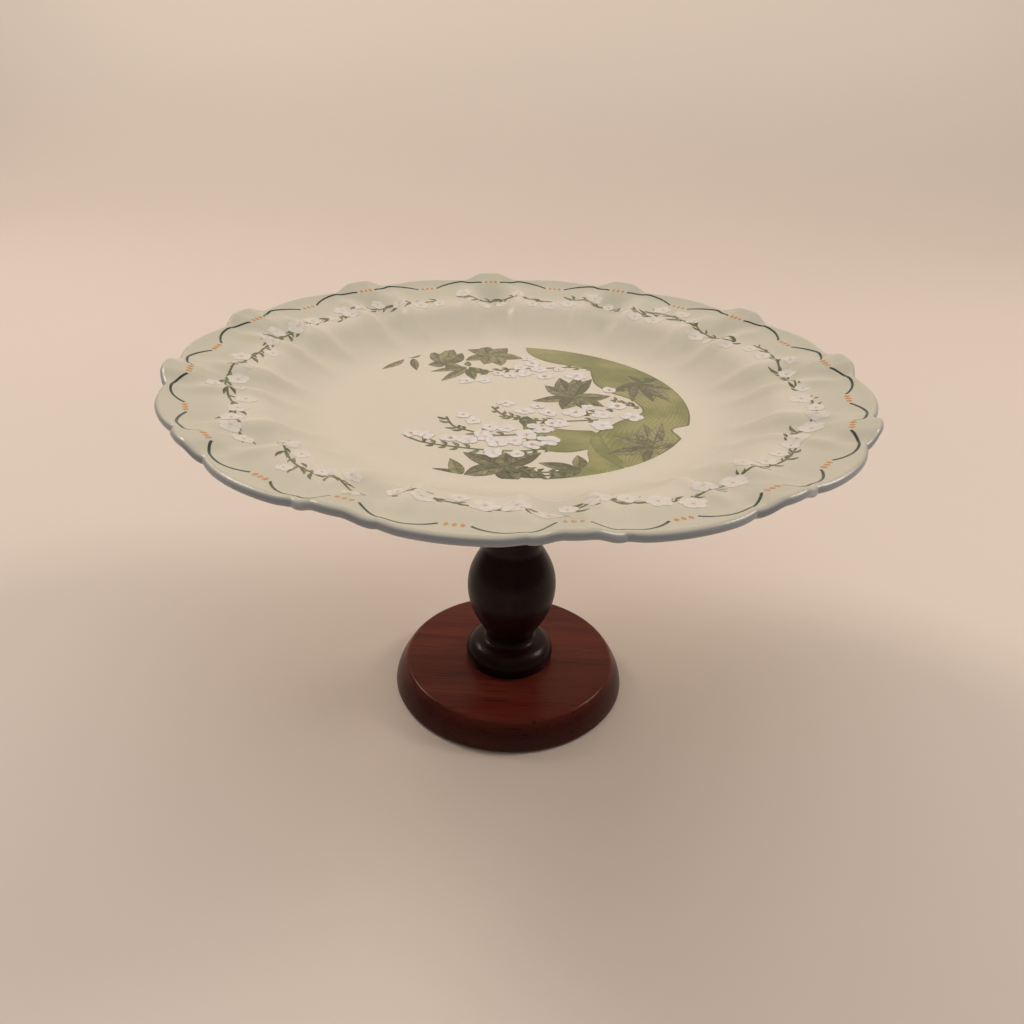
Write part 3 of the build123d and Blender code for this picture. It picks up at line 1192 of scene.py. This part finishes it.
def disc_section():
    """The mounting disc, rounded below."""
    low, high, radius = DISC_LOW.z / MM, DISC_HIGH.z / MM, DISC_HIGH.x / MM
    pencil = Pencil(0.0, low)
    pencil.to(radius - 2.0, low, 2)
    return pencil.arc(2.0, 90, 8).to(radius, high - 0.5).to(radius - 0.5, high).to(0.0, high, 2)


class CAKESTAND_OT_foot(bpy.types.Operator):
    """Turn the round wooden foot"""

    bl_idname = "cake_stand.foot"
    bl_label = "Foot"

    def execute(self, context):
        look = stand_settings().finishes
        # Outside this radius the foot's side gets painted shade.
        slot, edge = "mahogany_stained_wood", FOOT_TOP_RADIUS * MM
        stain = stained_wood(
            slot, look.foot_stain, look.foot_pale, look.pore_colour, False, 0.26, edge
        )
        turn_piece("turned_foot", foot_section(), 256, stain, slot, "base_disc")
        return {"FINISHED"}


def foot_section():
    """The foot, from its underside up a rounded, sloping side to its flat top."""
    low, high = BASE_LOW.z / MM, BASE_HIGH.z / MM
    pencil = Pencil(0.0, low)
    pencil.to(49.6, low, 3)
    pencil.curve((50.4, low), (50.7, low + 0.5), (50.5, low + 1.3), 6)
    pencil.curve((50.0, low + 4.8), (48.2, low + 8.0), (46.3, high - 1.2), 12)
    pencil.curve((45.8, high - 0.4), (45.3, high), (FOOT_TOP_RADIUS, high), 7)
    return pencil.to(19.5, high, 5).to(0.0, high, 2)


class CAKESTAND_OT_fixings(bpy.types.Operator):
    """Finish the screws and washer, the adhesive and the felt pad"""

    bl_idname = "cake_stand.fixings"
    bl_label = "Fixings"

    def execute(self, context):
        zinc = bright_zinc()
        for name in ("mounting_screw", "base_screw", "base_screw_washer"):
            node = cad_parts[name]
            node.data.materials.clear()
            node.data.materials.append(zinc)
        turn_piece(
            "adhesive_bead", adhesive_section(), 128, clear_adhesive(), "clear_adhesive",
            "adhesive_disc",
        )
        turn_piece("felt_disc", felt_section(), 128, pressed_felt(), "black_felt", "felt_pad")
        return {"FINISHED"}


def adhesive_section():
    """Adhesive between the mounting disc and the plate, with a hollow edge."""
    low, high, radius = GLUE_LOW.z / MM, GLUE_HIGH.z / MM, GLUE_HIGH.x / MM
    pencil = Pencil(0.0, low)
    pencil.to(radius, low, 2)
    pencil.curve((radius - 1.0, low + 0.4), (radius - 1.0, high - 0.4), (radius, high), 8)
    return pencil.to(0.0, high, 2)


def felt_section():
    """A felt disc with a softened edge."""
    low, high, radius = FELT_LOW.z / MM, FELT_HIGH.z / MM, FELT_HIGH.x / MM
    pencil = Pencil(0.0, low)
    pencil.to(radius - 0.4, low, 3)
    pencil.curve((radius, low), (radius, high), (radius - 0.2, high), 6)
    return pencil.to(0.0, high, 2)


# ---------------------------------------------------------------- printed pieces


def lay_print(name, mesh, tree, material, **values):
    """Prints a mesh on the plate and fixes it there. Value names have underscores for spaces."""
    settings = {label.replace("_", " "): value for label, value in values.items()}
    settings.update({"Glaze": bpy.data.objects["scalloped_plate"], "Material": material})
    join_stand(grow(name, mesh, shared_tree(tree), settings), "glazed_stoneware")


def motif(name, drawing):
    """A drawing kept as a loose object while it is repeated."""
    piece = bpy.data.objects.new(name, drawing.mesh(name))
    bpy.context.scene.collection.objects.link(piece)
    return piece


class CAKESTAND_OT_border(bpy.types.Operator):
    """Print the border's lines and dots"""

    bl_idname = "cake_stand.border"
    bl_label = "Border"

    def execute(self, context):
        sizes, look = stand_settings().prints, stand_settings().finishes
        groups, ring = sizes.dot_groups, sizes.ring / MM
        step = 360 / groups
        per_mm = 180 / math.pi / ring
        lines, dots = [], []
        for group in range(groups):
            middle = DOT_START + group * step
            gap = sizes.swag_gap / MM * per_mm
            lines.append(swag(ring, middle + gap, middle + step - gap, sizes.swag_bulge / MM))
            reach = sizes.dot_spacing / MM * per_mm
            dots.append([polar(ring, middle + reach * side) for side in (-1, 0, 1)])
        lay_print(
            "border_lines",
            path_mesh("border_paths", lines),
            line_tree,
            line_ink("border_line_ink", look.line_colour, (0.06, 0.085, 0.07)),
            Width=sizes.line_width,
        )
        drawing = Drawing()
        drawing.disc((0.0, 0.0), 0.5)
        dot = motif("dot_motif", drawing)
        dot.data.transform(Matrix.Diagonal((sizes.dot_width / MM, sizes.dot_length / MM, 1.0, 1.0)))
        lay_print(
            "border_dots",
            path_mesh("dot_paths", dots),
            motif_tree,
            line_ink("border_dot_ink", look.dot_colour, (0.75, 0.42, 0.18)),
            Motif=dot,
            Spacing=sizes.dot_spacing * SNUG,
            Scale_Spread=0.08,
            Turn_Spread=0.1,
        )
        bpy.data.objects.remove(dot)
        return {"FINISHED"}


def swag(ring, start, end, bulge, steps=24):
    """One border line from dot group to dot group, swinging outward over the notch."""
    path = []
    for step in range(steps + 1):
        share = step / steps
        path.append(
            polar(ring + bulge * math.sin(math.pi * share) ** 0.85, start + (end - start) * share)
        )
    return path


class CAKESTAND_OT_vine(bpy.types.Operator):
    """Print the vine of leaves and small flowers inside the border"""

    bl_idname = "cake_stand.vine"
    bl_label = "Vine"

    def execute(self, context):
        sizes, look = stand_settings().prints, stand_settings().finishes
        sprays = vine_paths(sizes.vine_ring / MM, sizes.vine_sprays)
        stem = line_ink("vine_stem_ink", look.stem_colour, (0.2, 0.22, 0.12))
        lay_print("vine_stems", path_mesh("vine_paths", sprays), line_tree, stem, Width=0.75 * MM)
        leaf = leaf_ink("vine_leaf_ink", look.leaf_pale, look.leaf_dark, look.leaf_vein)
        petal = petal_ink("vine_petal_ink", look.vine_petal, look.vine_petal_edge, look.vine_blush)
        heart = line_ink("vine_heart_ink", look.vine_heart, look.vine_heart_worn, 0.95)

        sprig = Drawing(seed=5)
        for side in (-1, 1):
            sprig.blade((0.0, 0.0), (4.4, 1.7 * side), 1.15, 0.5 * side)
        sprig.blade((-1.8, 0.0), (0.6, 1.6), 0.8, 0.35)
        sprig_motif = motif("sprig_motif", sprig)
        lay_print(
            "vine_leaves", path_mesh("leaf_paths", sprays), motif_tree, leaf,
            Motif=sprig_motif, Spacing=6.0 * MM, Scale_Spread=0.45, Turn_Spread=0.7,
            Side_Spread=0.5 * MM, Seed=3,
        )
        bpy.data.objects.remove(sprig_motif)

        bloom = Drawing(seed=6)
        bloom.flower((0.0, 0.0), 7.6)
        bloom_motif = motif("bloom_motif", bloom)
        centre = Drawing(seed=7)
        centre.disc((0.0, 0.0), 0.55)
        centre_motif = motif("heart_motif", centre)
        placed = {"Spacing": 8.5 * MM, "Scale_Spread": 0.25, "Turn_Spread": 1.5,
                  "Side_Spread": 5.5 * MM, "Seed": 12}
        for name, shape, ink, lift in (
            ("vine_flowers", bloom_motif, petal, 0.08), ("vine_hearts", centre_motif, heart, 0.16),
        ):
            lay_print(
                name, path_mesh(name + "_paths", sprays), motif_tree, ink,
                Motif=shape, Lift=lift * MM, **placed,
            )
            bpy.data.objects.remove(shape)
        return {"FINISHED"}


def vine_paths(ring, count):
    """Stems that climb outward one after another, each with a gentle wave."""
    chance = random.Random(21)
    paths = []
    for spray in range(count):
        start = (spray + chance.uniform(-0.08, 0.08)) * 360 / count
        sweep = 360 / count * chance.uniform(0.8, 0.96)
        climb, wave = chance.uniform(1.0, 4.0), chance.uniform(0.5, 1.4)
        phase = chance.uniform(0.0, 6.0)
        path = []
        for step in range(25):
            share = step / 24
            radius = ring + climb * (share - 0.5) * 2 + wave * math.sin(share * 8.0 + phase)
            path.append(polar(radius, start + sweep * share))
        paths.append(path)
    return paths


class CAKESTAND_OT_centre(bpy.types.Operator):
    """Print the round picture of leaves and blossom in the well"""

    bl_idname = "cake_stand.centre"
    bl_label = "Centre Print"

    def execute(self, context):
        sizes, look = stand_settings().prints, stand_settings().finishes
        scale = sizes.centre_radius / MM / PICTURE_RADIUS
        place = Matrix.Translation((*sizes.centre_place, 0.0)) @ Matrix.Scale(scale, 4)

        def placed(mesh):
            mesh.transform(place)
            return mesh

        strap = leaf_ink("strap_leaf_ink", look.strap_pale, look.strap_dark, look.leaf_dark, True)
        leaf = leaf_ink("finger_leaf_ink", look.leaf_pale, look.leaf_dark, look.leaf_vein)
        stem = line_ink("blossom_stem_ink", look.stem_colour, (0.2, 0.24, 0.11))
        petal = petal_ink("blossom_petal_ink", look.petal_colour, look.petal_edge, look.petal_blush)
        heart = line_ink("blossom_heart_ink", look.heart_colour, (0.78, 0.68, 0.62), 0.95)
        blooms, hearts = Drawing(PICTURE_RADIUS, seed=8), Drawing(PICTURE_RADIUS, seed=9)
        for x, y, size in BLOSSOMS:
            blooms.flower((x, y), size)
            hearts.disc((x, y), size * hearts.chance.uniform(0.06, 0.12))
        for name, drawing, ink, lift in (
            ("centre_strap_leaf", strap_leaf(), strap, 0.03),
            ("centre_leaves", finger_leaves(), leaf, 0.05),
            ("centre_buds", bud_leaves(), leaf, 0.12),
            ("centre_blossom", blooms, petal, 0.16),
            ("centre_hearts", hearts, heart, 0.32),
        ):
            mesh = placed(drawing.mesh(name + "_drawing"))
            lay_print(name, mesh, print_tree, ink, Lift=lift * MM)
        stems = placed(path_mesh("blossom_paths", [soft(path) for path in BLOSSOM_STEMS]))
        lay_print("centre_stems", stems, line_tree, stem, Width=0.85 * MM, Lift=0.1 * MM)
        return {"FINISHED"}


def soft(corners, steps=8):
    """A smooth path through the corners."""
    ends = [corners[0], *corners, corners[-1]]
    path = []
    for before, start, end, after in zip(ends, ends[1:], ends[2:], ends[3:]):
        for step in range(steps):
            t = step / steps
            path.append(
                tuple(
                    0.5 * (2 * s + (e - b) * t + (2 * b - 5 * s + 4 * e - a) * t * t
                           + (3 * s - b - 3 * e + a) * t ** 3)
                    for b, s, e, a in zip(before, start, end, after)
                )
            )
    return path + [corners[-1]]


def strap_leaf():
    """A broad strap leaf that sweeps down the right of the print and folds over at its tip."""
    drawing = Drawing(PICTURE_RADIUS, seed=2)
    inner = soft(STRAP_INNER, 4)
    outer = []
    for step in range(len(inner)):
        angle = 89 - 143 * step / (len(inner) - 1)
        bite = 7 * math.exp(-(((angle + 20) / 5) ** 2))
        outer.append(polar(PICTURE_RADIUS + 2 - bite, angle))
    drawing.strip(outer, inner, 0.3)
    for left, right, tint in STRAP_FOLDS:
        drawing.strip(soft(left), soft(right), tint)
    return drawing


STRAP_INNER = [
    (3, 65), (4, 58), (8, 51), (14, 46), (22, 43), (29, 40), (30, 31), (31, 22), (36, 14),
    (43, 8), (46, 2), (47, -4), (44, -9), (38, -14), (34, -19), (29, -25), (26, -31), (25, -36),
    (28, -44), (33, -52),
]
STRAP_FOLDS = [
    (
        [(3, -16), (10, -21), (18, -24), (27, -24)],
        [(4, -36), (10, -42), (18, -43), (25, -40)],
        0.55,
    ),
    ([(2, -14), (5, -14), (7, -17)], [(3, -27), (6, -27), (9, -25)], 1.0),
    (
        [(27, -24), (26, -34), (28, -43), (33, -52)],
        [(30, -27), (31, -35), (33, -42), (36, -49)],
        1.0,
    ),
    (
        [(25.6, -35), (24.5, -43), (24.5, -50), (21, -56), (14, -65)],
        [(25.8, -35), (28, -43), (31, -48), (34, -51.5), (38, -55)],
        0.0,
    ),
]


def finger_leaves():
    """The dark leaves: some in fans of fingers, some single."""
    drawing = Drawing(PICTURE_RADIUS, seed=3)
    for centre, width, tips in LEAF_FANS:
        drawing.fan(centre, tips, width)
    for base, tip, width in SINGLE_LEAVES:
        drawing.blade(base, tip, width, drawing.chance.uniform(-0.8, 0.8))
    return drawing


def bud_leaves():
    """Small hooked leaves in pairs up the blossom stems."""
    drawing = Drawing(PICTURE_RADIUS, seed=4)
    for path in BLOSSOM_STEMS:
        points = soft(path, 3)
        for place, after in zip(points, points[1:]):
            way = math.degrees(math.atan2(after[1] - place[1], after[0] - place[0]))
            for side in (-1, 1):
                if drawing.chance.random() < 0.6:
                    reach = polar(drawing.chance.uniform(2.4, 4.6), way + side * 48)
                    tip = (place[0] + reach[0], place[1] + reach[1])
                    drawing.blade(place, tip, 1.5, 0.6 * side, steps=6)
    return drawing


LEAF_FANS = [
    ((47, -37), 6.6, [(46, -16), (53, -15), (58, -31), (42, -24), (34, -28), (31, -43), (43, -50)]),
    (
        (22, 8), 7.4,
        [(6, 2), (11, 19), (17, 28), (24, 30), (30, 28), (36, 10), (33, -1), (28, -6), (17, -5)],
    ),
    ((49, 26), 6.2, [(37, 15), (44, 5), (52, 6), (59, 6), (62, 20), (57, 32), (45, 34)]),
    ((-30, 40), 7.4, [(-37, 55), (-29, 61), (-24, 54), (-37, 38), (-23, 37)]),
    ((-12, 53), 8.0, [(-22, 45), (-22, 59), (-14, 65), (-5, 63), (2, 50), (-7, 40), (-14, 41)]),
    ((-3, -56), 8.2, [(-17, -46), (-3, -45), (9, -44), (9, -63), (1, -67), (-16, -64)]),
]

SINGLE_LEAVES = [
    ((-48, 44), (-55, 31), 4.0),
    ((-44, 45), (-41, 31), 3.6),
    ((-47, 46), (-41, 52), 4.5),
    ((-21, 37), (-35, 30), 4.6),
    ((-21, 36), (-30, 20), 4.8),
    ((-20, 35), (-17, 23), 4.6),
    ((-20, 37), (-12, 30), 5.0),
    ((-20, 38), (-21, 44), 3.0),
    ((-17, -64), (-26, -59), 4.4),
    ((-17, -64), (-21, -51), 5.0),
    ((21, -56), (8, -52), 5.6),
    ((21, -55), (21, -45), 5.0),
    ((22, -55), (11, -64), 5.6),
    ((4, -13), (3, -22), 4.6),
]

BLOSSOM_STEMS = [
    [(30, 40), (22, 41), (12, 39), (-4, 36), (-12, 32), (-16, 33)],
    [(30, -14), (20, -16), (11, -17), (1, -15), (-5, -12), (-9, -5)],
    [(11, -32), (2, -30), (-7, -31), (-16, -28), (-22, -24), (-25, -16)],
    [(11, -40), (4, -43), (-8, -43.5), (-19, -42), (-31, -39), (-38, -34)],
    [(-2, -57), (8, -59), (21, -57)],
    [(-2, -55), (9, -61), (13, -60)],
    [(36, -5), (30, -8), (20, -9)],
    [(46, 0), (40, 2), (36, 6)],
]

BLOSSOMS = [
    (6, 44, 8.5), (9, 37, 8.5), (3, 32, 8.0), (11, 29, 8.0), (-3, 29, 7.0), (24, 31, 9.5),
    (17, 38, 6.0), (-8, 31, 6.0), (-20, 21, 7.0), (-13, 22, 7.0), (1, 39, 6.5), (4, 50, 6.0),
    (-4, -1, 7.0), (3, -8, 7.5), (12, -9, 8.0), (22, -8, 9.5), (32, -9, 9.5), (31, -19, 9.0),
    (38, 0, 9.0), (43, -10, 9.5), (16, -18, 8.0), (8, -3, 5.5), (36, 16, 7.0), (27, -3, 6.0),
    (-19, -14, 6.5), (-15, -19, 7.0), (-9, -24, 7.5), (-3, -25, 7.5), (4, -30, 9.5), (10, -25, 7.5),
    (13, -19, 7.0), (12, -34, 9.0), (6, -22, 5.5),
    (-36, -32, 6.5), (-31, -33, 7.0), (-22, -35, 7.5), (-16, -36, 8.0), (-10, -33, 7.5),
    (-6, -37, 8.5), (0, -35, 8.0), (6, -38, 8.5), (-7, -46, 8.0), (1, -46, 7.0), (-12, -30, 6.0),
]


# ---------------------------------------------------------------- stage


class CAKESTAND_OT_stage(bpy.types.Operator):
    """Set the floor, backdrop, lights and camera"""

    bl_idname = "cake_stand.stage"
    bl_label = "Stage"

    def execute(self, context):
        scene = context.scene
        studio_sweep(pale_studio("pale_board", FLOOR_COLOUR, WALL_COLOUR))
        for softbox in SOFTBOXES:
            hang_softbox(*softbox)
        world = bpy.data.worlds.new("studio_air")
        world.use_nodes = True
        air = world.node_tree.nodes["Background"]
        air.inputs["Color"].default_value = (*AIR_TINT, 1)
        air.inputs["Strength"].default_value = AIR_STRENGTH
        scene.world = world
        scene.view_settings.view_transform = "Standard"
        scene.camera = camera()
        return {"FINISHED"}


def studio_sweep(material):
    """A wide floor that curves up behind the stand into a wall."""
    front, bend_start, bend_radius, wall_top, half_width = -2000.0, 900.0, 500.0, 2600.0, 3.0
    pencil = Pencil(front, 0.0).to(bend_start, 0.0, 4).arc(bend_radius, 90.0, 16)
    pencil.to(bend_start + bend_radius, wall_top, 4)
    rows = len(pencil.points)
    corners = [
        (x, y * MM, z * MM) for x in (-half_width, half_width) for y, z in pencil.points
    ]
    faces = [(row, rows + row, rows + row + 1, row + 1) for row in range(rows - 1)]
    mesh = bpy.data.meshes.new("studio_sweep")
    mesh.from_pydata(corners, [], faces)
    mesh.shade_smooth()
    mesh.materials.append(material)
    sweep = bpy.data.objects.new("studio_sweep", mesh)
    bpy.context.scene.collection.objects.link(sweep)
    return sweep


def hang_softbox(name, place, size, power, tint):
    """A square soft light that faces the stand."""
    light = bpy.data.lights.new(name, "AREA")
    light.size = size
    light.energy = power
    light.color = tint
    lamp = bpy.data.objects.new(name, light)
    lamp.location = place
    aim = Vector((0.0, 0.0, PLATE_HIGH.z * 0.6)) - Vector(place)
    lamp.rotation_euler = aim.to_track_quat("-Z", "Y").to_euler()
    bpy.context.scene.collection.objects.link(lamp)


def camera():
    """A camera close in front of the stand and a little above it, looking down."""
    data = bpy.data.cameras.new("camera")
    data.sensor_width = 36.0
    data.lens = CAMERA_LENS
    data.clip_start = 0.01
    view = bpy.data.objects.new("camera", data)
    pitch, yaw, roll = map(math.radians, (CAMERA_PITCH, CAMERA_YAW, CAMERA_ROLL))
    turn = Matrix.Rotation(-yaw, 4, "Z") @ Matrix.Rotation(math.pi / 2 - pitch, 4, "X")
    view.matrix_world = Matrix.Translation(CAMERA_PLACE) @ turn @ Matrix.Rotation(roll, 4, "Z")
    bpy.context.scene.collection.objects.link(view)
    return view


# ---------------------------------------------------------------- add-on


class StandSettings(bpy.types.PropertyGroup):
    """All that a user would change."""

    plate: PointerProperty(type=PlateSizes)
    prints: PointerProperty(type=PrintSizes)
    finishes: PointerProperty(type=Finishes)


OPERATORS = (
    CAKESTAND_OT_plate,
    CAKESTAND_OT_pedestal,
    CAKESTAND_OT_foot,
    CAKESTAND_OT_fixings,
    CAKESTAND_OT_border,
    CAKESTAND_OT_vine,
    CAKESTAND_OT_centre,
    CAKESTAND_OT_stage,
)


class CAKESTAND_PT_panel(bpy.types.Panel):
    """Lists the pieces of the cake stand"""

    bl_idname = "CAKESTAND_PT_panel"
    bl_label = "Cake Stand"
    bl_space_type = "VIEW_3D"
    bl_region_type = "UI"
    bl_category = "Cake Stand"

    def draw(self, context):
        for operator in OPERATORS:
            self.layout.operator(operator.bl_idname)
        for group in ("plate", "prints", "finishes"):
            settings = getattr(context.scene.cake_stand, group)
            box = self.layout.box()
            for label in settings.bl_rna.properties.keys():
                if label not in ("rna_type", "name"):
                    box.prop(settings, label)


CLASSES = (PlateSizes, PrintSizes, Finishes, StandSettings, *OPERATORS, CAKESTAND_PT_panel)


def register():
    for item in CLASSES:
        bpy.utils.register_class(item)
    bpy.types.Scene.cake_stand = PointerProperty(type=StandSettings)


def unregister():
    del bpy.types.Scene.cake_stand
    for item in reversed(CLASSES):
        bpy.utils.unregister_class(item)


def main():
    register()
    for operator in OPERATORS:
        getattr(bpy.ops.cake_stand, operator.bl_idname.split(".")[1])()


if __name__ == "__main__":
    main()
